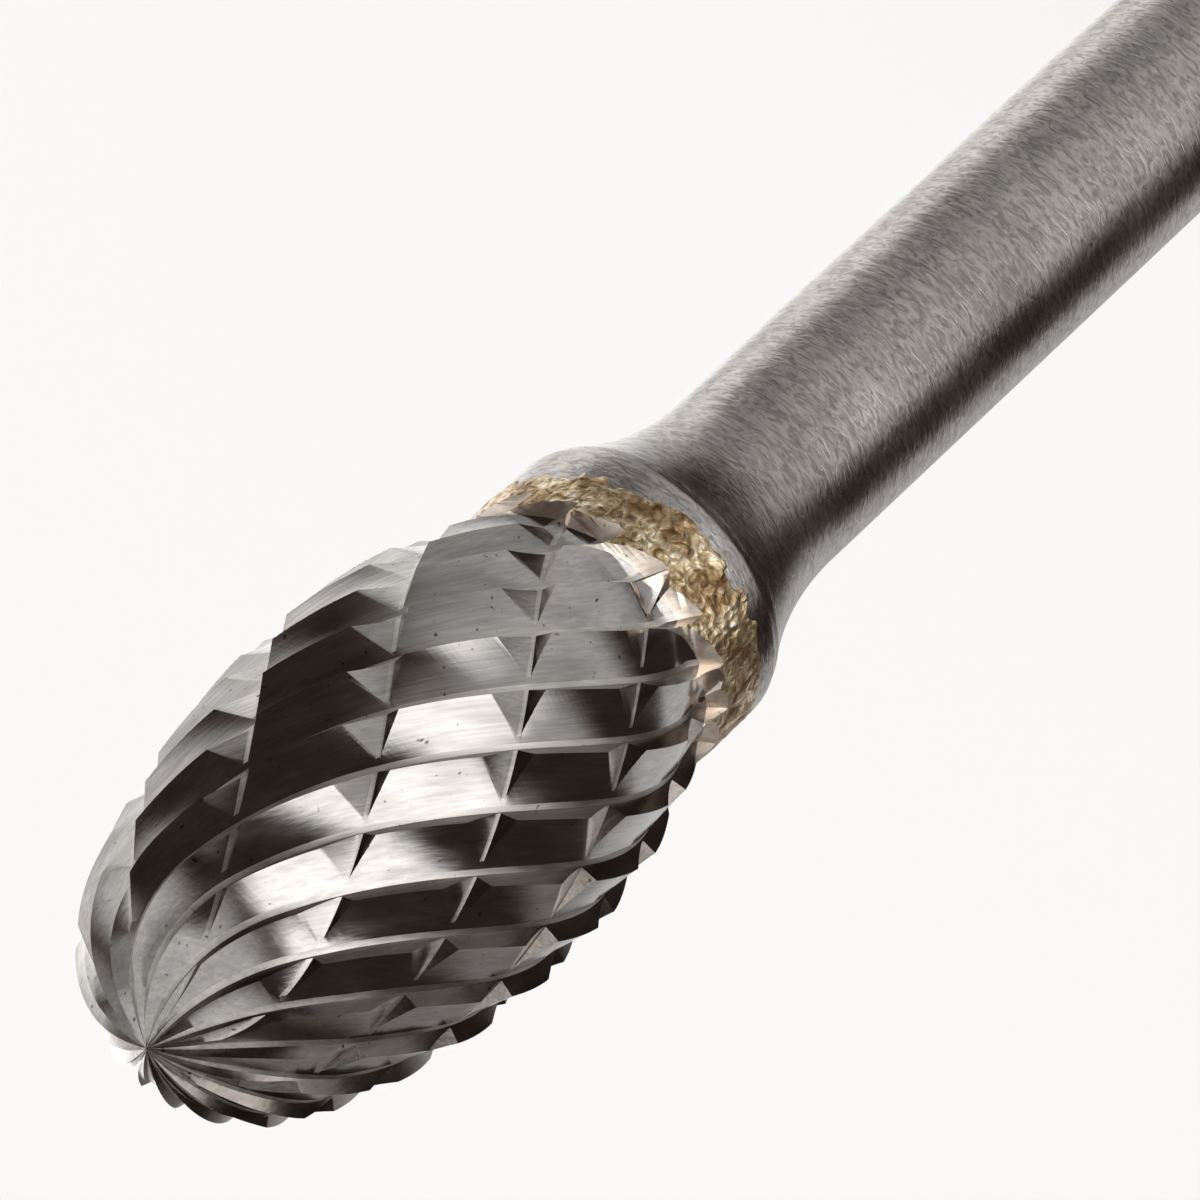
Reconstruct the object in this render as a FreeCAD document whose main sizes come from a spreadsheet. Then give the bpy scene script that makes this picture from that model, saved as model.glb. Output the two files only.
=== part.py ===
import FreeCAD, Part
import math
import os
import Sketcher

# Rotary burr for a die grinder: an oval head of tungsten carbide with double-cut teeth,
# brazed on the flared end of a steel shank. The axis is Z, the origin is the centre of the
# shank's end face, and the tip of the head points up. All sizes are in millimetres.

Vector = FreeCAD.Vector
AXIS = Vector(0, 0, 1)
ORIGIN = Vector(0, 0, 0)

DIMENSIONS = [
    ("overall_length", 65, "end of the shank to the tip of the head"),
    ("head_length", 20, "tip to the rear face of the head"),
    ("head_diameter", 12, "over the tooth crests at the belly"),
    ("belly_distance", 11.8, "tip to the widest place"),
    ("nose_radius", 4.85, "round nose of the oval"),
    ("rear_land", 1.1, "rear of the head behind the end of the oval"),
    ("rear_bevel", 1.8, "length of the bevel at the rear, which the braze fills"),
    ("rear_bevel_depth", 0.7, "from the shoulder's surface in to the rear edge of the head"),
    ("grinding_stock", 0.05, "how far the blanks stand outside the tooth crests"),
    ("primary_flutes", 18, "right-hand flutes, which cut"),
    ("primary_depth", 0.5, "depth at the belly"),
    ("primary_lead_angle", 6.2, "degrees of turn per millimetre of length"),
    ("primary_rake_share", 0.15, "part of the pitch taken by the cutting face"),
    ("primary_root_width", 0.18, "flat root"),
    ("cross_flutes", 8, "left-hand flutes, which break the chip"),
    ("cross_depth", 0.45, "depth at the belly"),
    ("cross_lead_angle", 6.2, "degrees of turn per millimetre of length"),
    ("cross_phase", -1.5, "degrees from a primary root to a cross root at the tip"),
    ("cross_relief_width", 1.3, "gentle wall on the side of the tip, round the belly"),
    ("cross_rake_width", 0.35, "steep wall on the side of the shank, round the belly"),
    ("cross_root_width", 0.14, "flat root"),
    ("run_out_radius", 1.1, "bend of the flutes' path where they leave the head"),
    ("shank_diameter", 6, "fits a 6 mm collet"),
    ("shank_chamfer", 0.5, "end of the shank"),
    ("collar_diameter", 9, "shoulder behind the head, with its braze"),
    ("collar_length", 2.2, "straight part of the shoulder, up to the head"),
    ("collar_round", 0.3, "rounded edge between shoulder and flare"),
    ("flare_radius", 10, "hollow curve from the shoulder to the shank"),
    ("spigot_diameter", 4, "pilot of the shank in the head"),
    ("spigot_length", 3, "pilot of the shank in the head"),
    ("braze_gap", 0.1, "film of braze between head and shank"),
    ("braze_skin", 0.1, "thickness of the braze round the front of the shoulder"),
    ("braze_skin_length", 1.4, "how far the braze ran down the shoulder"),
]


def driving_dimensions(doc):
    """Spreadsheet with one named cell for each size."""
    cells = doc.addObject("Spreadsheet::Sheet", "dimensions")
    for row, (alias, value, note) in enumerate(DIMENSIONS, start=1):
        cells.set(f"A{row}", alias)
        cells.set(f"B{row}", str(value))
        cells.set(f"C{row}", note)
        cells.setAlias(f"B{row}", alias)
    doc.recompute()
    return cells


doc = FreeCAD.newDocument("RotaryBurr")
sheet = driving_dimensions(doc)


def size(alias):
    return float(sheet.get(alias))


def value_of(expression):
    return float(sheet.evalExpression(expression))


# ---------------------------------------------------------------- sizes worked out in the sheet
# Each is an expression on the driving dimensions, in brackets so that they nest.

HEAD_RADIUS = "(dimensions.head_diameter / 2)"
SHANK_RADIUS = "(dimensions.shank_diameter / 2)"
COLLAR_RADIUS = "(dimensions.collar_diameter / 2)"
REAR_RADIUS = f"({COLLAR_RADIUS} - dimensions.rear_bevel_depth)"
JOINT_RADIUS = f"({COLLAR_RADIUS} - dimensions.braze_skin)"
SPIGOT_RADIUS = "(dimensions.spigot_diameter / 2)"
SOCKET_RADIUS = f"({SPIGOT_RADIUS} + dimensions.braze_gap)"

TIP = "(dimensions.overall_length)"
BELLY = f"({TIP} - dimensions.belly_distance)"
HEAD_REAR = f"({TIP} - dimensions.head_length)"
OVAL_END = f"({HEAD_REAR} + dimensions.rear_land)"
BEVEL_TOP = f"({HEAD_REAR} + dimensions.rear_bevel)"
COLLAR_FRONT = f"({HEAD_REAR} - dimensions.braze_gap)"
COLLAR_REAR = f"({HEAD_REAR} - dimensions.collar_length)"
SKIN_END = f"({COLLAR_FRONT} - dimensions.braze_skin_length)"
SPIGOT_TOP = f"({COLLAR_FRONT} + dimensions.spigot_length)"
SOCKET_TOP = f"({SPIGOT_TOP} + dimensions.braze_gap)"

# The front arc of the oval touches the nose from inside and is widest at the belly. The rear
# arc is widest at the belly too and comes down to the shoulder's diameter.
FRONT_RADIUS = (f"(((dimensions.belly_distance - dimensions.nose_radius)^2 + {HEAD_RADIUS}^2"
                f" - dimensions.nose_radius^2) / (2 * ({HEAD_RADIUS} - dimensions.nose_radius)))")
OVAL_DROP = f"({HEAD_RADIUS} - {COLLAR_RADIUS})"
REAR_ARC_RADIUS = f"((({BELLY} - {OVAL_END})^2 + {OVAL_DROP}^2) / (2 * {OVAL_DROP}))"
BLANK_REAR_RADIUS = f"({REAR_ARC_RADIUS} + dimensions.grinding_stock)"
BEVEL_RADIUS = (f"({HEAD_RADIUS} - {REAR_ARC_RADIUS}"
                f" + sqrt({BLANK_REAR_RADIUS}^2 - ({BELLY} - {BEVEL_TOP})^2))")
FLARE_START = (f"({COLLAR_REAR} - sqrt(dimensions.flare_radius^2"
               f" - (dimensions.flare_radius + {SHANK_RADIUS} - {COLLAR_RADIUS})^2))")


# ---------------------------------------------------------------- turned pieces


def origin_plane(body, role):
    return next(feature for feature in body.Origin.OriginFeatures if feature.Role == role)


def arc_through(start, end, radius, turn):
    """Arc from start to end; turn is +1 for anticlockwise and -1 for clockwise."""
    half = (end - start) * 0.5
    across = Vector(-half.y, half.x, 0).normalize() * turn
    centre = start + half + across * math.sqrt(radius ** 2 - half.Length ** 2)
    first, last = (start, end) if turn > 0 else (end, start)
    angles = [math.atan2(point.y - centre.y, point.x - centre.x) for point in (first, last)]
    return Part.ArcOfCircle(Part.Circle(centre, AXIS, radius), *angles)


def turned_body(name, outline):
    """Body made of one sketch in the XZ plane, turned about Z.

    outline lists the corners anticlockwise. Each corner is (radius, height), or
    (radius, height, arc radius, turn) where an arc leads to the next corner. All but turn
    are expressions on the sheet, and each is bound to the sketch as a constraint.
    """
    body = doc.addObject("PartDesign::Body", name)
    body.Label = name
    sketch = body.newObject("Sketcher::SketchObject", f"{name}_profile")
    sketch.AttachmentSupport = [(origin_plane(body, "XZ_Plane"), "")]
    sketch.MapMode = "FlatFace"

    def bind(kind, expression, *geometry):
        constraint = Sketcher.Constraint(kind, *geometry, value_of(expression))
        index = sketch.addConstraint(constraint)
        sketch.setExpression(f"Constraints[{index}]", expression)

    places = [Vector(value_of(corner[0]), value_of(corner[1]), 0) for corner in outline]
    ends = []
    for corner, start, end in zip(outline, places, places[1:] + places[:1]):
        if len(corner) == 2:
            ends.append((sketch.addGeometry(Part.LineSegment(start, end)), 1, 2))
        else:
            arc = arc_through(start, end, value_of(corner[2]), corner[3])
            vertices = (1, 2) if corner[3] > 0 else (2, 1)
            ends.append((sketch.addGeometry(arc), *vertices))
    for (edge, first, last), following in zip(ends, ends[1:] + ends[:1]):
        sketch.addConstraint(
            Sketcher.Constraint("Coincident", edge, last, following[0], following[1]))
    for corner, (edge, first, last) in zip(outline, ends):
        bind("DistanceX", corner[0], -1, 1, edge, first)
        bind("DistanceY", corner[1], -1, 1, edge, first)
        if len(corner) > 2:
            bind("Radius", corner[2], edge)
    turned = body.newObject("PartDesign::Revolution", f"{name}_turned")
    turned.Profile = sketch
    turned.ReferenceAxis = (sketch, ["V_Axis"])
    turned.Angle = 360
    return body


def steel_shank():
    """Straight shank, hollow flare, shoulder and the pilot that centres the head."""
    body = turned_body("steel_shank", [
        ("0", "0"),
        (f"{SHANK_RADIUS} - dimensions.shank_chamfer", "0"),
        (SHANK_RADIUS, "dimensions.shank_chamfer"),
        (SHANK_RADIUS, FLARE_START, "dimensions.flare_radius", -1),
        (COLLAR_RADIUS, COLLAR_REAR),
        (COLLAR_RADIUS, SKIN_END),
        (JOINT_RADIUS, COLLAR_FRONT),
        (SPIGOT_RADIUS, COLLAR_FRONT),
        (SPIGOT_RADIUS, SPIGOT_TOP),
        ("0", SPIGOT_TOP),
    ])
    doc.recompute()
    turned = body.Tip
    corner = Vector(value_of(COLLAR_RADIUS), 0, value_of(COLLAR_REAR))
    rims = [f"Edge{number}" for number, edge in enumerate(turned.Shape.Edges, start=1)
            if edge.distToShape(Part.Vertex(corner))[0] < 1e-6 and edge.isClosed()]
    rounded = body.newObject("PartDesign::Fillet", "collar_rounded")
    rounded.Base = (turned, rims)
    rounded.setExpression("Radius", "dimensions.collar_round")
    return body


def braze_blank():
    """Braze before the teeth are ground: film round the pilot, film on the shoulder, and the
    fillet that fills the bevel of the head and thins out along the shoulder."""
    return turned_body("braze_blank", [
        (SPIGOT_RADIUS, COLLAR_FRONT),
        (JOINT_RADIUS, COLLAR_FRONT),
        (COLLAR_RADIUS, SKIN_END),
        (COLLAR_RADIUS, f"{OVAL_END} - 2 * dimensions.grinding_stock"),
        (BEVEL_RADIUS, BEVEL_TOP),
        (REAR_RADIUS, HEAD_REAR),
        (SOCKET_RADIUS, HEAD_REAR),
        (SOCKET_RADIUS, SOCKET_TOP),
        ("0", SOCKET_TOP),
        ("0", SPIGOT_TOP),
        (SPIGOT_RADIUS, SPIGOT_TOP),
    ])


def head_blank():
    """Oval blank with the socket for the pilot and a bevelled rear, before it is ground."""
    nose = "(dimensions.nose_radius + dimensions.grinding_stock)"
    front = f"({FRONT_RADIUS} + dimensions.grinding_stock)"
    slope = f"({FRONT_RADIUS} - dimensions.nose_radius)"
    join_radius = f"({FRONT_RADIUS} - {HEAD_RADIUS}) / {slope} * {nose}"
    join_rise = f"(dimensions.belly_distance - dimensions.nose_radius) / {slope} * {nose}"
    return turned_body("head_blank", [
        (SOCKET_RADIUS, HEAD_REAR),
        (REAR_RADIUS, HEAD_REAR),
        (BEVEL_RADIUS, BEVEL_TOP, BLANK_REAR_RADIUS, 1),
        (f"{HEAD_RADIUS} + dimensions.grinding_stock", BELLY, front, 1),
        (join_radius, f"{TIP} - dimensions.nose_radius + {join_rise}", nose, 1),
        (f"sqrt({nose}^2 - dimensions.nose_radius^2)", TIP),
        ("0", TIP),
        ("0", SOCKET_TOP),
        (SOCKET_RADIUS, SOCKET_TOP),
    ])


# ---------------------------------------------------------------- teeth of the head


class Oval:
    """Line of the tooth crests: nose, front and rear arc, measured along it from the tip.

    Past the end of the rear arc the line bends away from the shoulder, so that what follows it
    runs out of the work.
    """

    def __init__(self):
        self.nose = size("nose_radius")
        self.front = value_of(FRONT_RADIUS)
        self.rear = value_of(REAR_ARC_RADIUS)
        self.widest = value_of(HEAD_RADIUS)
        self.belly = size("belly_distance")
        self.run_out = size("run_out_radius")
        self.front_angle = math.asin((self.belly - self.nose) / (self.front - self.nose))
        rear_angle = math.asin(value_of(f"{BELLY} - {OVAL_END}") / self.rear)
        self.nose_end = self.nose * (math.pi / 2 - self.front_angle)
        self.belly_end = self.nose_end + self.front * self.front_angle
        self.end = self.belly_end + self.rear * rear_angle

    def at(self, travel):
        """Distance behind the tip, radius, and angle of the outward normal towards the rear."""
        if travel > self.end:
            distance, radius, _ = self.at(self.end)
            beyond = travel - self.end
            return distance + beyond, radius + beyond ** 2 / (2 * self.run_out), 0.0
        if travel < self.nose_end:
            angle = travel / self.nose - math.pi / 2
            centre, radius, bend = self.nose, 0.0, self.nose
        elif travel < self.belly_end:
            angle = (travel - self.belly_end) / self.front
            centre, radius, bend = self.belly, self.widest - self.front, self.front
        else:
            angle = (travel - self.belly_end) / self.rear
            centre, radius, bend = self.belly, self.widest - self.rear, self.rear
        return centre + bend * math.sin(angle), radius + bend * math.cos(angle), angle


# Places where a flute's section is drawn: parts of the oval's length, which lie closer together
# on the nose, where the flutes turn most, and then millimetres past its end.
FLUTE_STATIONS = (0.02, 0.05, 0.10, 0.17, 0.25, 0.35, 0.45, 0.56, 0.67, 0.78, 0.88, 0.97)
RUN_OUT_STATIONS = (0.3, 0.7, 1.2)
CROSS_FIRST_STATION = 2
OVERSHOOT = 0.12


def past(foot, crest, extra):
    """Point beyond the crest on the line from the foot, so that cutters cross in the air."""
    share = 1 + extra / math.dist(foot, crest)
    return tuple(start + share * (end - start) for start, end in zip(foot, crest))


def primary_section(scale, crest_drop):
    """Flat root, long relief up to the next crest, and steep cutting face on the other side.

    Each corner is (along the circumference, outwards). crest_drop gives how far the round head
    has curved away from the section's own plane.
    """
    pitch = 2 * math.pi * value_of(HEAD_RADIUS) / size("primary_flutes") * scale
    depth = size("primary_depth") * scale
    root = min(size("primary_root_width"), pitch / 4)
    relief_crest = (1 - size("primary_rake_share")) * pitch
    rake_crest = -size("primary_rake_share") * pitch
    return [
        (0, -depth),
        (root, -depth),
        past((root, -depth), (relief_crest, -crest_drop(relief_crest)), 0.5 * scale + OVERSHOOT),
        past((0, -depth), (rake_crest, -crest_drop(rake_crest)), 0.5 * scale + OVERSHOOT),
    ]


def cross_section(scale, crest_drop):
    """Narrow flat root, gentle wall towards the tip and steep wall towards the shank."""
    depth = size("cross_depth") * scale
    half_root = size("cross_root_width") / 2 * scale
    relief_edge = half_root + size("cross_relief_width") * scale
    rake_edge = -half_root - size("cross_rake_width") * scale
    return [
        (-half_root, -depth),
        (half_root, -depth),
        past((half_root, -depth), (relief_edge, -crest_drop(relief_edge)), 0.6),
        past((-half_root, -depth), (rake_edge, -crest_drop(rake_edge)), 0.3),
    ]


def flute_cutter(section, lead_angle, phase, first_station, entry_lift):
    """Grinding wheel's path as a loft through sections square to the oval.

    entry_lift holds the first section out of the work, for flutes that begin on the nose.
    """
    oval = Oval()
    travels = [share * oval.end for share in FLUTE_STATIONS[first_station:]]
    travels += [oval.end + beyond for beyond in RUN_OUT_STATIONS]
    wires = []
    for travel in travels:
        distance, radius, tilt = oval.at(travel)
        turn = math.radians(phase + lead_angle * distance)
        outward = Vector(math.cos(turn), math.sin(turn), 0)
        around = Vector(-math.sin(turn), math.cos(turn), 0)
        normal = outward * math.cos(tilt) - AXIS * math.sin(tilt)
        lift = entry_lift if travel == travels[0] else 0
        foot = outward * radius + AXIS * (size("overall_length") - distance) + normal * lift

        def crest_drop(across):
            return across ** 2 * math.cos(tilt) / (2 * radius)

        corners = [foot + around * across + normal * up
                   for across, up in section(radius / oval.widest, crest_drop)]
        wires.append(Part.makePolygon(corners + corners[:1]))
    return Part.makeLoft(wires, True, False)


def polar_copies(shape, count):
    copies = []
    for number in range(count):
        copy = shape.copy()
        copy.rotate(ORIGIN, AXIS, 360 / count * number)
        copies.append(copy)
    return copies


def ground(name, blank, cutters):
    """Blank with the flutes cut into it. No sketch-based sweep keeps its depth on an oval, so
    the cutters are lofts and the result is a plain feature."""
    piece = doc.addObject("Part::Feature", name)
    piece.Label = name
    piece.Shape = blank.Shape.cut(cutters).Solids[0]
    piece.Placement = FreeCAD.Placement()
    return piece


# ---------------------------------------------------------------- build, test and write

shank = steel_shank()
braze_before_grinding = braze_blank()
head_before_grinding = head_blank()
doc.recompute()

primary = flute_cutter(primary_section, -size("primary_lead_angle"), 0, 0, 0)
cross = flute_cutter(cross_section, size("cross_lead_angle"), size("cross_phase"),
                     CROSS_FIRST_STATION, size("cross_depth"))
flutes = polar_copies(primary, int(size("primary_flutes")))
flutes += polar_copies(cross, int(size("cross_flutes")))
head = ground("carbide_head", head_before_grinding, flutes)
braze = ground("braze_joint", braze_before_grinding, flutes)
doc.recompute()

for item in doc.Objects:
    if "Invalid" in item.State or "Error" in item.State:
        raise RuntimeError(f"{item.Label} failed: {item.State}")

os.makedirs("parts", exist_ok=True)
for piece in (head, braze, shank):
    if piece.Shape.isNull() or not piece.Shape.isValid() or len(piece.Shape.Solids) != 1:
        raise RuntimeError(f"{piece.Label} is not one valid solid")
    piece.Shape.exportStep(f"parts/{piece.Label}.step")
    print(f"{piece.Label}: {piece.Shape.Volume:.2f} cubic millimetres")
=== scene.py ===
import math
import bpy
from mathutils import Matrix, Vector, noise


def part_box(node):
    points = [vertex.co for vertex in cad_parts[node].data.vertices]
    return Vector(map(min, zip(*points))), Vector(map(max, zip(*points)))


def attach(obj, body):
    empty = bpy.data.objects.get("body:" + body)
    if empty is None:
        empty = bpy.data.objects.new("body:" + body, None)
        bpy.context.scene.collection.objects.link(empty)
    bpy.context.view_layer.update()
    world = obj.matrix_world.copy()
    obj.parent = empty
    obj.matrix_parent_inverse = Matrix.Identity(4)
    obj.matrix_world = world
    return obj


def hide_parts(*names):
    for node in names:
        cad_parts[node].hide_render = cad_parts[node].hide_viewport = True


# Rotary burr: oval carbide head, braze and steel shank, standing on the end of its shank.
# Shapes are worked out in millimetres and made in metres. The axis is Z and the tip points up.

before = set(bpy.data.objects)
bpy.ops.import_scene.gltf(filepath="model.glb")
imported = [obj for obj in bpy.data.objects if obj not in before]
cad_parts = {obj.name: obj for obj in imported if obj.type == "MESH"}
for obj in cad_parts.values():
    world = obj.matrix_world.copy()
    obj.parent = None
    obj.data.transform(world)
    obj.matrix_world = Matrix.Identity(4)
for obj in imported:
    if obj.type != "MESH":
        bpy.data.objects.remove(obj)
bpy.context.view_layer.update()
MM = 0.001

# ---------------------------------------------------------------- sizes

head_low, head_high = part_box("carbide_head")
shank_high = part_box("steel_shank")[1]

TIP = head_high.z / MM
HEAD_REAR = head_low.z / MM
HEAD_RADIUS = (head_high.x - head_low.x) / 2 / MM
HEAD_LENGTH = TIP - HEAD_REAR
SPIGOT_TOP = shank_high.z / MM

BELLY = 11.8
NOSE_RADIUS = 4.85
REAR_LAND = 1.1
REAR_BEVEL = 1.8
REAR_RADIUS = 3.8
STOCK = 0.05

SHANK_RADIUS = 3.0
SHANK_CHAMFER = 0.5
COLLAR_RADIUS = 4.5
COLLAR_LENGTH = 2.2
COLLAR_ROUND = 0.35
FLARE_RADIUS = 10.0
SPIGOT_RADIUS = 2.0
BRAZE_GAP = 0.1
SKIN = 0.1
SKIN_LENGTH = 1.4

PRIMARY_COUNT = 18
PRIMARY_DEPTH = 0.5
PRIMARY_LEAD = math.radians(6.2)
PRIMARY_ROOT = 0.19
RAKE_SHARE = 0.15
CROSS_COUNT = 8
CROSS_DEPTH = 0.45
CROSS_LEAD = math.radians(6.2)
CROSS_PHASE = math.radians(-1.5)
CROSS_RELIEF = 1.3
CROSS_RAKE = 0.35
CROSS_ROOT = 0.14
RUN_OUT_RADIUS = 1.1

# ---------------------------------------------------------------- the oval


class Oval:
    """Line of the tooth crests, measured along it from the tip. Past the end of the rear arc it
    bends away from the shoulder, so that the flutes run out."""

    def __init__(self):
        rise = HEAD_RADIUS - NOSE_RADIUS
        self.front = ((BELLY - NOSE_RADIUS) ** 2 + HEAD_RADIUS ** 2 - NOSE_RADIUS ** 2) / (2 * rise)
        drop = HEAD_RADIUS - COLLAR_RADIUS
        run = HEAD_LENGTH - REAR_LAND - BELLY
        self.rear = (run ** 2 + drop ** 2) / (2 * drop)
        self.front_angle = math.asin((BELLY - NOSE_RADIUS) / (self.front - NOSE_RADIUS))
        self.nose_end = NOSE_RADIUS * (math.pi / 2 - self.front_angle)
        self.belly_end = self.nose_end + self.front * self.front_angle
        self.end = self.belly_end + self.rear * math.asin(run / self.rear)

    def at(self, travel):
        """Distance behind the tip, radius, and tilt of the outward normal towards the rear."""
        if travel > self.end:
            distance, radius, _ = self.at(self.end)
            beyond = travel - self.end
            return distance + beyond, radius + beyond ** 2 / (2 * RUN_OUT_RADIUS), 0.0
        if travel < self.nose_end:
            angle = travel / NOSE_RADIUS - math.pi / 2
            centre, radius, bend = NOSE_RADIUS, 0.0, NOSE_RADIUS
        elif travel < self.belly_end:
            angle = (travel - self.belly_end) / self.front
            centre, radius, bend = BELLY, HEAD_RADIUS - self.front, self.front
        else:
            angle = (travel - self.belly_end) / self.rear
            centre, radius, bend = BELLY, HEAD_RADIUS - self.rear, self.rear
        return centre + bend * math.sin(angle), radius + bend * math.cos(angle), angle


OVAL = Oval()
BEVEL_TOP = HEAD_REAR + REAR_BEVEL
BEVEL_RADIUS = (HEAD_RADIUS - OVAL.rear
                + math.sqrt((OVAL.rear + STOCK) ** 2 - (HEAD_LENGTH - REAR_BEVEL - BELLY) ** 2))
COLLAR_FRONT = HEAD_REAR - BRAZE_GAP
COLLAR_REAR = HEAD_REAR - COLLAR_LENGTH
SKIN_END = COLLAR_FRONT - SKIN_LENGTH

# ---------------------------------------------------------------- mesh helpers


def mesh_object(name, vertices, faces, slots=(), face_slots=None):
    mesh = bpy.data.meshes.new(name)
    mesh.from_pydata([Vector(point) * MM for point in vertices], [], faces)
    for material in slots:
        mesh.materials.append(material)
    if face_slots:
        mesh.polygons.foreach_set("material_index", face_slots)
    mesh.update()
    thing = bpy.data.objects.new(name, mesh)
    bpy.context.collection.objects.link(thing)
    return thing


def lathe(name, outline, segments, slots=(), face_slot=0, push=None):
    """Closed skin turned about Z from a closed outline, listed anticlockwise, which may start
    and end on the axis. push(radius, height, azimuth) gives a point's final radius."""
    capped = outline[0][0] == 0
    loop = outline[1:-1] if capped else outline
    vertices = []
    for radius, height in loop:
        for step in range(segments):
            azimuth = 2 * math.pi * step / segments
            reach = push(radius, height, azimuth) if push else radius
            vertices.append((reach * math.cos(azimuth), reach * math.sin(azimuth), height))
    faces = []
    for ring in range(len(loop) - 1 if capped else len(loop)):
        low, high = ring * segments, (ring + 1) % len(loop) * segments
        for step in range(segments):
            following = (step + 1) % segments
            faces.append((low + step, low + following, high + following, high + step))
    if capped:
        first, last = len(vertices), len(vertices) + 1
        vertices += [(0, 0, outline[0][1]), (0, 0, outline[-1][1])]
        top = (len(loop) - 1) * segments
        for step in range(segments):
            following = (step + 1) % segments
            faces.append((first, following, step))
            faces.append((top + step, top + following, last))
    return mesh_object(name, vertices, faces, slots, [face_slot] * len(faces))


def smooth(thing, degrees):
    thing.data.shade_smooth()
    thing.data.set_sharp_from_angle(angle=math.radians(degrees))


# ---------------------------------------------------------------- materials


def add_node(tree, kind, inputs=None, **settings):
    """New node; an input may be given as a plain value or as another node's output."""
    node = tree.nodes.new(kind)
    for name, value in settings.items():
        setattr(node, name, value)
    for name, value in (inputs or {}).items():
        if isinstance(value, bpy.types.NodeSocket):
            tree.links.new(value, node.inputs[name])
        else:
            node.inputs[name].default_value = value
    return node


def new_material(name, metallic, roughness):
    material = bpy.data.materials.new(name)
    material.use_nodes = True
    tree = material.node_tree
    shader = tree.nodes["Principled BSDF"]
    shader.inputs["Metallic"].default_value = metallic
    shader.inputs["Roughness"].default_value = roughness
    return material, tree, shader


def millimetres(tree, scale):
    """The piece's own coordinates in millimetres, stretched by scale along each axis."""
    place_of = add_node(tree, "ShaderNodeTexCoord").outputs["Object"]
    return add_node(tree, "ShaderNodeMapping", {
        "Vector": place_of, "Scale": tuple(1000 * part for part in scale)}).outputs["Vector"]


def along_flutes(tree, across, along):
    """Coordinates in which the primary flutes run straight down the axis."""
    plain = millimetres(tree, (1, 1, 1))
    height = add_node(tree, "ShaderNodeSeparateXYZ", {"Vector": plain}).outputs["Z"]
    behind = add_node(tree, "ShaderNodeMath", {0: TIP, 1: height}, operation="SUBTRACT")
    turn = add_node(tree, "ShaderNodeMath", {0: behind.outputs[0], 1: PRIMARY_LEAD},
                    operation="MULTIPLY")
    straight = add_node(tree, "ShaderNodeVectorRotate", {
        "Vector": plain, "Angle": turn.outputs[0]}, rotation_type="Z_AXIS")
    return add_node(tree, "ShaderNodeMapping", {
        "Vector": straight.outputs[0], "Scale": (across, across, along)}).outputs["Vector"]


def noise_of(tree, vector, scale, detail=2.0, distortion=0.0):
    node = add_node(tree, "ShaderNodeTexNoise", {
        "Vector": vector, "Scale": scale, "Detail": detail, "Distortion": distortion})
    return node.outputs["Fac"]


def ramp(tree, factor, *stops):
    """Colour ramp from (position, colour) stops; a single number stands for a grey."""
    node = add_node(tree, "ShaderNodeValToRGB", {"Fac": factor})
    elements = node.color_ramp.elements
    while len(elements) < len(stops):
        elements.new(0.5)
    for element, (position, colour) in zip(elements, stops):
        element.position = position
        element.color = (*colour, 1) if isinstance(colour, tuple) else (colour,) * 3 + (1,)
    return node.outputs["Color"]


def tinted(tree, first, second):
    """Product of two colours."""
    node = add_node(tree, "ShaderNodeMix", data_type="RGBA", blend_type="MULTIPLY")
    node.inputs[0].default_value = 1
    for socket, value in ((node.inputs[6], first), (node.inputs[7], second)):
        if isinstance(value, bpy.types.NodeSocket):
            tree.links.new(value, socket)
        else:
            socket.default_value = value
    return node.outputs[2]


def raised(tree, height, depth, normal=None):
    """Bump of the given depth in millimetres."""
    inputs = {"Height": height, "Distance": depth * MM}
    if normal is not None:
        inputs["Normal"] = normal
    return add_node(tree, "ShaderNodeBump", inputs).outputs["Normal"]


def ground_metal(name, colour, smoothest, roughest, line_depth):
    """Carbide or braze as a diamond wheel leaves it: fine lines along the flute, a few pits."""
    material, tree, shader = new_material(name, 1.0, smoothest)
    lines = noise_of(tree, along_flutes(tree, 9.0, 0.35), 1.0, 4.0)
    broad = noise_of(tree, along_flutes(tree, 1.3, 0.6), 1.0, 3.0)
    pits = noise_of(tree, millimetres(tree, (5, 5, 5)), 1.0, 1.5)
    tone = ramp(tree, broad, (0.3, 0.78), (0.7, 1.12))
    streak = ramp(tree, lines, (0.3, 0.82), (0.7, 1.1))
    pit = ramp(tree, pits, (0.22, 0.2), (0.29, 1.0))
    shade = tinted(tree, tinted(tree, tone, streak), pit)
    tree.links.new(tinted(tree, (*colour, 1), shade), shader.inputs["Base Color"])
    rough = add_node(tree, "ShaderNodeMapRange", {
        "Value": broad, "From Min": 0.3, "From Max": 0.7, "To Min": smoothest, "To Max": roughest})
    tree.links.new(rough.outputs[0], shader.inputs["Roughness"])
    normal = raised(tree, lines, line_depth)
    normal = raised(tree, broad, line_depth * 2.5, normal=normal)
    tree.links.new(normal, shader.inputs["Normal"])
    return material


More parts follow.
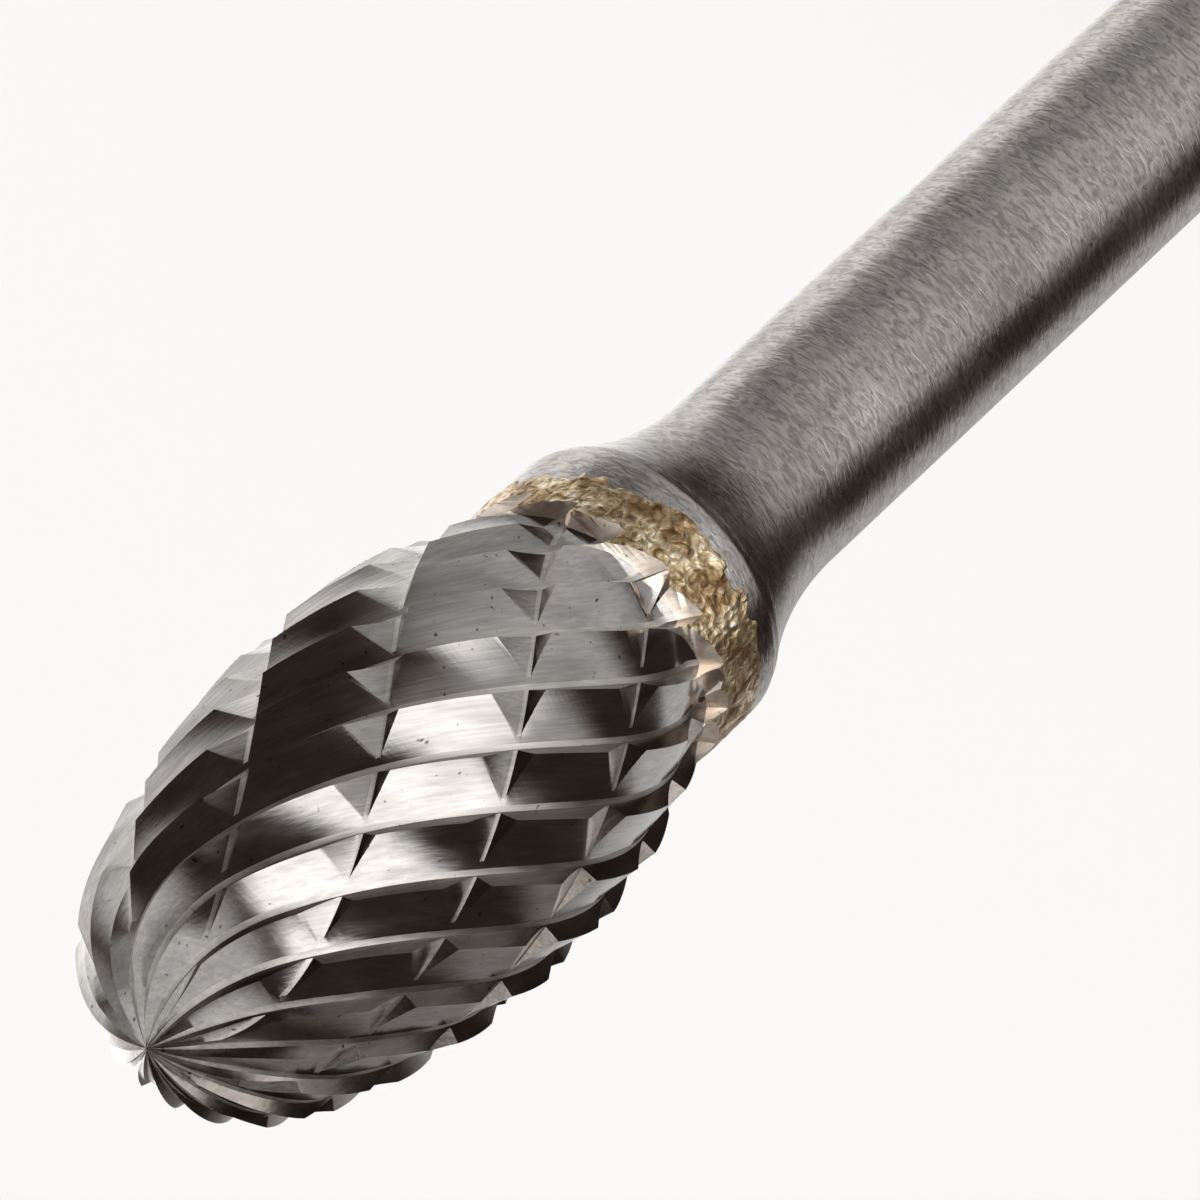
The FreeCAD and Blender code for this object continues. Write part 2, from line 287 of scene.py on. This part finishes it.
def rough_braze():
    """Silver braze with brass in it, frozen in grains and browned by the flux, with painted shade
    in the hollows between the grains.
    """
    material, tree, shader = new_material("braze_rough", 1.0, 0.3)
    place_of = millimetres(tree, (1, 1, 1))
    patches = noise_of(tree, place_of, 0.9, 3.0)
    grains = noise_of(tree, place_of, 2.8, 5.0, 0.8)
    # grain colour follows the bump's height: the pale brass and silver on the grains is the braze's
    # own, the dark brown in their hollows is painted shade
    grain_colour_and_painted_shade = ramp(tree, grains, (0.30, (0.25, 0.16, 0.08)), (0.43, (0.60, 0.44, 0.25)),
                 (0.56, (0.84, 0.70, 0.48)), (0.68, (1.0, 0.93, 0.78)))
    stain = ramp(tree, patches, (0.38, (0.50, 0.41, 0.32)), (0.56, (1.0, 1.0, 1.0)))
    tree.links.new(tinted(tree, grain_colour_and_painted_shade, stain), shader.inputs["Base Color"])
    rough = add_node(tree, "ShaderNodeMapRange", {
        "Value": grains, "From Min": 0.35, "From Max": 0.65, "To Min": 0.55, "To Max": 0.3})
    tree.links.new(rough.outputs[0], shader.inputs["Roughness"])
    cells = add_node(tree, "ShaderNodeTexVoronoi", {"Vector": place_of, "Scale": 3.2})
    normal = raised(tree, cells.outputs["Distance"], 0.05)
    normal = raised(tree, grains, 0.09, normal=normal)
    tree.links.new(normal, shader.inputs["Normal"])
    return material


def rolled_steel():
    """Shank steel with the fine crosswise ripple of its drawn and tumbled surface."""
    material, tree, shader = new_material("shank_steel", 1.0, 0.3)
    ripple = noise_of(tree, millimetres(tree, (1.7, 1.7, 5.0)), 1.0, 2.5, 1.6)
    cloud = noise_of(tree, millimetres(tree, (0.35, 0.35, 0.22)), 1.0, 3.0)
    speck = noise_of(tree, millimetres(tree, (7, 7, 9)), 1.0, 2.0)
    tone = ramp(tree, cloud, (0.3, (0.40, 0.37, 0.355)), (0.7, (0.56, 0.53, 0.51)))
    ripple_tone = ramp(tree, ripple, (0.34, 0.62), (0.62, 1.15))
    speck_tone = ramp(tree, speck, (0.26, 0.7), (0.4, 1.0))
    shade = tinted(tree, ripple_tone, speck_tone)
    tree.links.new(tinted(tree, tone, shade), shader.inputs["Base Color"])
    rough = add_node(tree, "ShaderNodeMapRange", {
        "Value": cloud, "From Min": 0.3, "From Max": 0.7, "To Min": 0.24, "To Max": 0.34})
    tree.links.new(rough.outputs[0], shader.inputs["Roughness"])
    tree.links.new(raised(tree, ripple, 0.014), shader.inputs["Normal"])
    return material


RELIEF = ground_metal("carbide_relief", (0.47, 0.452, 0.44), 0.11, 0.19, 0.0018)
# carbide of the rake faces, given a darker colour than the relief: painted shade of the rake walls
RAKE_PAINTED_SHADE = ground_metal("carbide_rake_painted_shade", (0.24, 0.215, 0.20), 0.18, 0.28, 0.004)
# carbide of the flute roots, given a lighter colour than the relief: painted highlight of the
# rounded root
ROOT_PAINTED_HIGHLIGHT = ground_metal("carbide_root_painted_highlight", (0.70, 0.67, 0.64), 0.35, 0.5, 0.003)
CROSS = ground_metal("carbide_cross", (0.46, 0.44, 0.425), 0.15, 0.26, 0.004)
BRAZE = rough_braze()
BRAZE_GROUND = ground_metal("braze_ground", (1.0, 0.87, 0.76), 0.34, 0.45, 0.003)
STEEL = rolled_steel()

# ---------------------------------------------------------------- flutes

# stations along a cutter's path; above 1, the spacing puts them closer together near the tip
STATIONS = 160
STATION_SPACING = 1.15
FIRST_TRAVEL = 0.03
OVERRUN = 1.3
OVERSHOOT = 0.12
RELIEF_SIDE, RAKE_SIDE, ROOT_SIDE, CROSS_SIDE, BLANK_SIDE = range(5)


def past(foot, crest, extra):
    """Point beyond the crest on the line from the foot."""
    share = 1 + extra / math.dist(foot, crest)
    return tuple(start + share * (end - start) for start, end in zip(foot, crest))


def primary_section(scale, crest_drop):
    """Corners of the primary cutter's section, with the slot of the side after each."""
    pitch = 2 * math.pi * HEAD_RADIUS / PRIMARY_COUNT * scale
    depth = PRIMARY_DEPTH * scale ** 0.75
    root = min(PRIMARY_ROOT, pitch / 4)
    crest = (1 - RAKE_SHARE) * pitch
    rake = -RAKE_SHARE * pitch
    extra = 0.5 * scale + OVERSHOOT
    return [
        ((0, -depth), ROOT_SIDE),
        ((root, -depth), RELIEF_SIDE),
        (past((root, -depth), (crest, -crest_drop(crest)), extra), RELIEF_SIDE),
        (past((0, -depth), (rake, -crest_drop(rake)), extra), RAKE_SIDE),
    ]


def cross_section(scale, crest_drop):
    """The same for the cross cutter: gentle wall towards the tip, steep wall towards the rear."""
    depth = CROSS_DEPTH * scale
    root = CROSS_ROOT / 2 * min(1, 2 * scale)
    relief = root + CROSS_RELIEF * scale
    rake = -root - CROSS_RAKE * scale
    return [
        ((-root, -depth), ROOT_SIDE),
        ((root, -depth), CROSS_SIDE),
        (past((root, -depth), (relief, -crest_drop(relief)), 0.6 * scale + OVERSHOOT), CROSS_SIDE),
        (past((-root, -depth), (rake, -crest_drop(rake)), 0.3 * scale + OVERSHOOT), RAKE_SIDE),
    ]


def flute_cutter(name, section, lead, phase, first_travel):
    """Path of the grinding wheel: sections square to the oval, joined in a closed skin."""
    vertices, faces, sides = [], [], []
    for station in range(STATIONS):
        share = (station / (STATIONS - 1)) ** STATION_SPACING
        distance, radius, tilt = OVAL.at(first_travel + (OVAL.end + OVERRUN - first_travel) * share)
        turn = phase + lead * distance
        outward = Vector((math.cos(turn), math.sin(turn), 0))
        around = Vector((-math.sin(turn), math.cos(turn), 0))
        normal = outward * math.cos(tilt) - Vector((0, 0, 1)) * math.sin(tilt)
        foot = outward * radius + Vector((0, 0, TIP - distance))

        def crest_drop(across):
            return across ** 2 * math.cos(tilt) / (2 * radius)

        corners = section(radius / HEAD_RADIUS, crest_drop)
        vertices += [foot + around * across + normal * up for (across, up), _ in corners]
    count = len(corners)
    for low in range(0, len(vertices) - count, count):
        for corner, (_, side) in enumerate(corners):
            following = (corner + 1) % count
            faces.append((low + corner, low + following,
                          low + count + following, low + count + corner))
            sides.append(side)
    faces.append(tuple(range(count - 1, -1, -1)))
    faces.append(tuple(range(len(vertices) - count, len(vertices))))
    sides += [RAKE_SIDE, RAKE_SIDE]
    return mesh_object(name, vertices, faces, HEAD_SLOTS, sides)


def turned_copies(thing, count):
    copies = [thing]
    for number in range(1, count):
        copy = thing.copy()
        copy.matrix_world = Matrix.Rotation(2 * math.pi * number / count, 4, "Z")
        bpy.context.collection.objects.link(copy)
        copies.append(copy)
    return copies


def cut(thing, cutters):
    """Subtracts the cutters from thing and keeps the result as its mesh."""
    for cutter in cutters:
        boolean = thing.modifiers.new("cut", "BOOLEAN")
        boolean.operation = "DIFFERENCE"
        boolean.solver = "MANIFOLD"
        boolean.object = cutter
    bpy.context.view_layer.update()
    evaluated = thing.evaluated_get(bpy.context.evaluated_depsgraph_get())
    mesh = bpy.data.meshes.new_from_object(evaluated)
    slots = list(thing.data.materials)
    while len(mesh.materials) > len(slots):
        mesh.materials.pop()
    for index, material in enumerate(slots):
        mesh.materials[index] = material
    mesh.validate()
    thing.modifiers.clear()
    thing.data = mesh


# the rake faces, the cutters' end caps and the uncut blank take the carbide darkened with painted
# shade; the root takes the carbide lightened with a painted highlight
HEAD_SLOTS = (RELIEF, RAKE_PAINTED_SHADE, ROOT_PAINTED_HIGHLIGHT, CROSS, RAKE_PAINTED_SHADE)
BRAZE_SLOTS = (BRAZE_GROUND, BRAZE_GROUND, BRAZE_GROUND, BRAZE_GROUND, BRAZE)


def place(piece, node):
    """Puts a finished piece in a CAD node's stead."""
    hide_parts(node)
    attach(piece, "root")


# ---------------------------------------------------------------- pieces

HEAD_SEGMENTS = 360
HEAD_ROWS = 120
BRAZE_SEGMENTS = 720
BRAZE_ROWS = 70
SHANK_SEGMENTS = 256
SHANK_ROWS = 24

# the braze leaves the shoulder bare round one side, up to this much above its usual edge
BARE_SIDE = math.radians(150)
BARE_HEIGHT = 0.9
GRAIN_HEIGHT = 0.05


def burr_head(cutters):
    """Oval blank with its socket and bevel, cut by all the flutes."""
    socket = SPIGOT_RADIUS + BRAZE_GAP
    outline = [(0, SPIGOT_TOP + BRAZE_GAP), (socket, SPIGOT_TOP + BRAZE_GAP), (socket, HEAD_REAR),
               (REAR_RADIUS, HEAD_REAR), (BEVEL_RADIUS, BEVEL_TOP)]
    for step in range(1, HEAD_ROWS):
        distance, radius, tilt = OVAL.at(OVAL.end * (1 - step / HEAD_ROWS))
        level = TIP - distance - STOCK * math.sin(tilt)
        if level > BEVEL_TOP:
            outline.append((radius + STOCK * math.cos(tilt), min(level, TIP)))
    outline.append((0, TIP))
    head = lathe("head", outline, HEAD_SEGMENTS, HEAD_SLOTS, BLANK_SIDE)
    cut(head, cutters)
    smooth(head, 25)
    place(head, "carbide_head")


def grain(point):
    """Lumpy surface of braze that froze without being wiped, from -1 to 1."""
    shifted = point + Vector((7, 0, 0))
    lumps = noise.noise(shifted * 1.3)
    grains = 1 - 2 * noise.voronoi(shifted * 2.6)[0][0]
    fine = noise.noise(shifted * 6.5)
    return 0.45 * lumps + 0.4 * grains + 0.25 * fine


def braze_reach(radius, height, azimuth):
    """Radius of the braze's surface. Below its edge it dips under the steel of the shoulder. The
    faces inside the joint stay smooth."""
    if radius < SPIGOT_RADIUS + 0.5 or height > BEVEL_TOP - 0.02:
        return radius
    point = Vector((radius * math.cos(azimuth), radius * math.sin(azimuth), height))
    bare = max(0.0, math.cos(azimuth - BARE_SIDE)) ** 3
    edge = (SKIN_END + BARE_HEIGHT * bare + 0.35 * noise.noise(point * 0.9)
            + 0.25 * noise.noise(point * 2.3))
    dip = max(-0.3, min(0.0, (height - edge) * 0.4))
    return radius + dip + GRAIN_HEIGHT * grain(point)


def braze_fillet(cutters):
    """Ring of braze round the rear of the head, which ran down over the shoulder unevenly."""
    low, high = SKIN_END - 0.35, HEAD_REAR + REAR_LAND - 2 * STOCK
    outline = [(SPIGOT_RADIUS, COLLAR_FRONT), (COLLAR_RADIUS - 0.4, COLLAR_FRONT),
               (COLLAR_RADIUS - 0.3, low)]
    outline += [(COLLAR_RADIUS + 0.01, low + (high - low) * row / (BRAZE_ROWS - 1))
                for row in range(BRAZE_ROWS)]
    outline += [(COLLAR_RADIUS + (BEVEL_RADIUS - COLLAR_RADIUS) * share,
                 high + (BEVEL_TOP - high) * share) for share in (0.25, 0.5, 0.75, 1)]
    outline += [(REAR_RADIUS, HEAD_REAR), (SPIGOT_RADIUS, HEAD_REAR)]
    braze = lathe("braze", outline, BRAZE_SEGMENTS, BRAZE_SLOTS, BLANK_SIDE, braze_reach)
    cut(braze, cutters)
    smooth(braze, 40)
    place(braze, "braze_joint")


def arc(centre, radius, start, end, steps):
    """Points of an arc in the outline's plane, angles in degrees."""
    return [(centre[0] + radius * math.cos(math.radians(start + (end - start) * step / steps)),
             centre[1] + radius * math.sin(math.radians(start + (end - start) * step / steps)))
            for step in range(steps + 1)]


def flared_shank():
    """Straight shank, hollow flare, shoulder with a rounded edge, and pilot."""
    flare_turn = math.degrees(math.acos(1 - (COLLAR_RADIUS - SHANK_RADIUS) / FLARE_RADIUS))
    flare_start = COLLAR_REAR - FLARE_RADIUS * math.sin(math.radians(flare_turn))
    flare = arc((SHANK_RADIUS + FLARE_RADIUS, flare_start), FLARE_RADIUS, 180, 180 - flare_turn, 40)
    # the rounded edge touches the shoulder and comes up to the flare
    edge = arc((COLLAR_RADIUS - COLLAR_ROUND, COLLAR_REAR + COLLAR_ROUND * 0.55), COLLAR_ROUND,
               -flare_turn - 12, 0, 10)
    kept = [point for point in flare if point[0] < edge[0][0] - 0.02 and point[1] < edge[0][1]]
    straight = [(SHANK_RADIUS, SHANK_CHAMFER + (flare_start - SHANK_CHAMFER) * step / SHANK_ROWS)
                for step in range(SHANK_ROWS)]
    outline = [(0, 0), (SHANK_RADIUS - SHANK_CHAMFER, 0)] + straight + kept + edge
    outline += [(COLLAR_RADIUS, SKIN_END), (COLLAR_RADIUS - SKIN, COLLAR_FRONT),
                (SPIGOT_RADIUS, COLLAR_FRONT), (SPIGOT_RADIUS, SPIGOT_TOP), (0, SPIGOT_TOP)]
    shank = lathe("shank", outline, SHANK_SEGMENTS, (STEEL,))
    smooth(shank, 30)
    place(shank, "steel_shank")


primary = flute_cutter("primary", primary_section, -PRIMARY_LEAD, 0, FIRST_TRAVEL)
cross = flute_cutter("cross", cross_section, CROSS_LEAD, CROSS_PHASE, FIRST_TRAVEL)
all_cutters = turned_copies(primary, PRIMARY_COUNT) + turned_copies(cross, CROSS_COUNT)
burr_head(all_cutters)
braze_fillet(all_cutters)
flared_shank()
for cutter in all_cutters:
    bpy.data.objects.remove(cutter)

# ---------------------------------------------------------------- camera and stage

CAMERA_DISTANCE = 411.2
CAMERA_ELEVATION = math.radians(36.49)
CAMERA_AZIMUTH = math.radians(78.21)
CAMERA_ROLL = math.radians(227.05)
AIM_HEIGHT = 44.17
AIM_SIDE = 0.51
LENS = 455.5


def add_camera():
    """Long lens, tilted so that the burr lies across the picture with its tip down and left."""
    data = bpy.data.cameras.new("camera")
    data.sensor_width = 36
    data.lens = LENS
    data.clip_start, data.clip_end = 0.01, 10
    camera = bpy.data.objects.new("camera", data)
    back = Vector((math.cos(CAMERA_ELEVATION) * math.cos(CAMERA_AZIMUTH),
                   math.cos(CAMERA_ELEVATION) * math.sin(CAMERA_AZIMUTH),
                   math.sin(CAMERA_ELEVATION)))
    side = Vector((-math.sin(CAMERA_AZIMUTH), math.cos(CAMERA_AZIMUTH), 0))
    aim = Vector((0, 0, AIM_HEIGHT)) + side * AIM_SIDE
    camera.rotation_mode = "QUATERNION"
    upright = back.to_track_quat("Z", "Y")
    camera.rotation_quaternion = upright @ Matrix.Rotation(CAMERA_ROLL, 3, "Z").to_quaternion()
    camera.location = (aim + back * CAMERA_DISTANCE) * MM
    bpy.context.collection.objects.link(camera)
    bpy.context.scene.camera = camera


def soft_panel(tree, azimuth, height, panel):
    """Brightness of one soft studio panel, falling off over its edges. All angles in degrees,
    azimuths from the camera's side."""
    centre, level, half_width, half_height, edge, brightness = panel
    offset = add_node(tree, "ShaderNodeMath", {0: azimuth, 1: math.radians(centre)},
                      operation="SUBTRACT")
    wrapped = add_node(tree, "ShaderNodeMath", {0: offset.outputs[0], 1: math.pi, 2: -math.pi},
                       operation="WRAP")
    sides = []
    for value, middle, half in ((wrapped.outputs[0], 0, half_width), (height, level, half_height)):
        away = add_node(tree, "ShaderNodeMath", {0: value, 1: math.radians(middle)},
                        operation="SUBTRACT")
        reach = add_node(tree, "ShaderNodeMath", {0: away.outputs[0]}, operation="ABSOLUTE")
        sides.append(add_node(tree, "ShaderNodeMapRange", {
            "Value": reach.outputs[0], "From Min": math.radians(half - edge / 2),
            "From Max": math.radians(half + edge / 2), "To Min": 1, "To Max": 0},
            interpolation_type="SMOOTHSTEP").outputs[0])
    both = add_node(tree, "ShaderNodeMath", {0: sides[0], 1: sides[1]}, operation="MULTIPLY")
    return add_node(tree, "ShaderNodeMath", {0: both.outputs[0], 1: brightness},
                    operation="MULTIPLY").outputs[0]


# azimuth from the camera's side, height, half width, half height, soft edge, brightness
PANELS = (
    (-26, 0, 26, 22, 12, 2.2),
    (-6, -46, 50, 25, 22, 0.62),
    (85, -48, 38, 19, 14, 0.42),
    (138, -16, 42, 42, 24, 1.0),
    (166, -25, 16, 36, 24, 0.7),
    (-148, -42, 36, 11, 10, 0.65),
    (-150, -10, 34, 20, 16, 0.25),
    (-60, 66, 100, 30, 20, 0.8),
    (110, 66, 70, 26, 20, 0.35),
)
SKY = 0.045


def add_studio():
    """Soft light all round, brighter where the panels stand."""
    world = bpy.data.worlds.new("studio")
    world.use_nodes = True
    tree = world.node_tree
    direction = add_node(tree, "ShaderNodeTexCoord").outputs["Generated"]
    turned = add_node(tree, "ShaderNodeVectorRotate", {
        "Vector": direction, "Angle": -CAMERA_AZIMUTH}, rotation_type="Z_AXIS").outputs[0]
    parts = add_node(tree, "ShaderNodeSeparateXYZ", {"Vector": turned})
    azimuth = add_node(tree, "ShaderNodeMath", {0: parts.outputs["Y"], 1: parts.outputs["X"]},
                       operation="ARCTAN2").outputs[0]
    height = add_node(tree, "ShaderNodeMath", {0: parts.outputs["Z"]},
                      operation="ARCSINE").outputs[0]
    light = SKY
    for panel in PANELS:
        light = add_node(tree, "ShaderNodeMath", {
            0: light, 1: soft_panel(tree, azimuth, height, panel)}, operation="ADD").outputs[0]
    background = tree.nodes["Background"]
    tint = ramp(tree, light, (0.05, (1.0, 0.72, 0.58)), (0.35, (1.0, 0.99, 0.975)))
    tree.links.new(tint, background.inputs["Color"])
    tree.links.new(light, background.inputs["Strength"])
    bpy.context.scene.world = world


def add_stage():
    """Plain floor, which the metal doesn't mirror, and a soft light from above for it."""
    floor_material, _, shader = new_material("floor", 0.0, 0.8)
    shader.inputs["Base Color"].default_value = (0.9, 0.9, 0.895, 1)
    reach, level = 3000, -0.02
    corners = [(-reach, -reach, level), (reach, -reach, level),
               (reach, reach, level), (-reach, reach, level)]
    floor = mesh_object("floor", corners, [(0, 1, 2, 3)], (floor_material,))
    floor.visible_glossy = False
    data = bpy.data.lights.new("ceiling_light", "SUN")
    data.energy = 1.82
    data.angle = math.radians(40)
    ceiling_light = bpy.data.objects.new("ceiling_light", data)
    ceiling_light.visible_glossy = False
    bpy.context.collection.objects.link(ceiling_light)
    bpy.context.scene.view_settings.view_transform = "Standard"


add_camera()
add_studio()
add_stage()
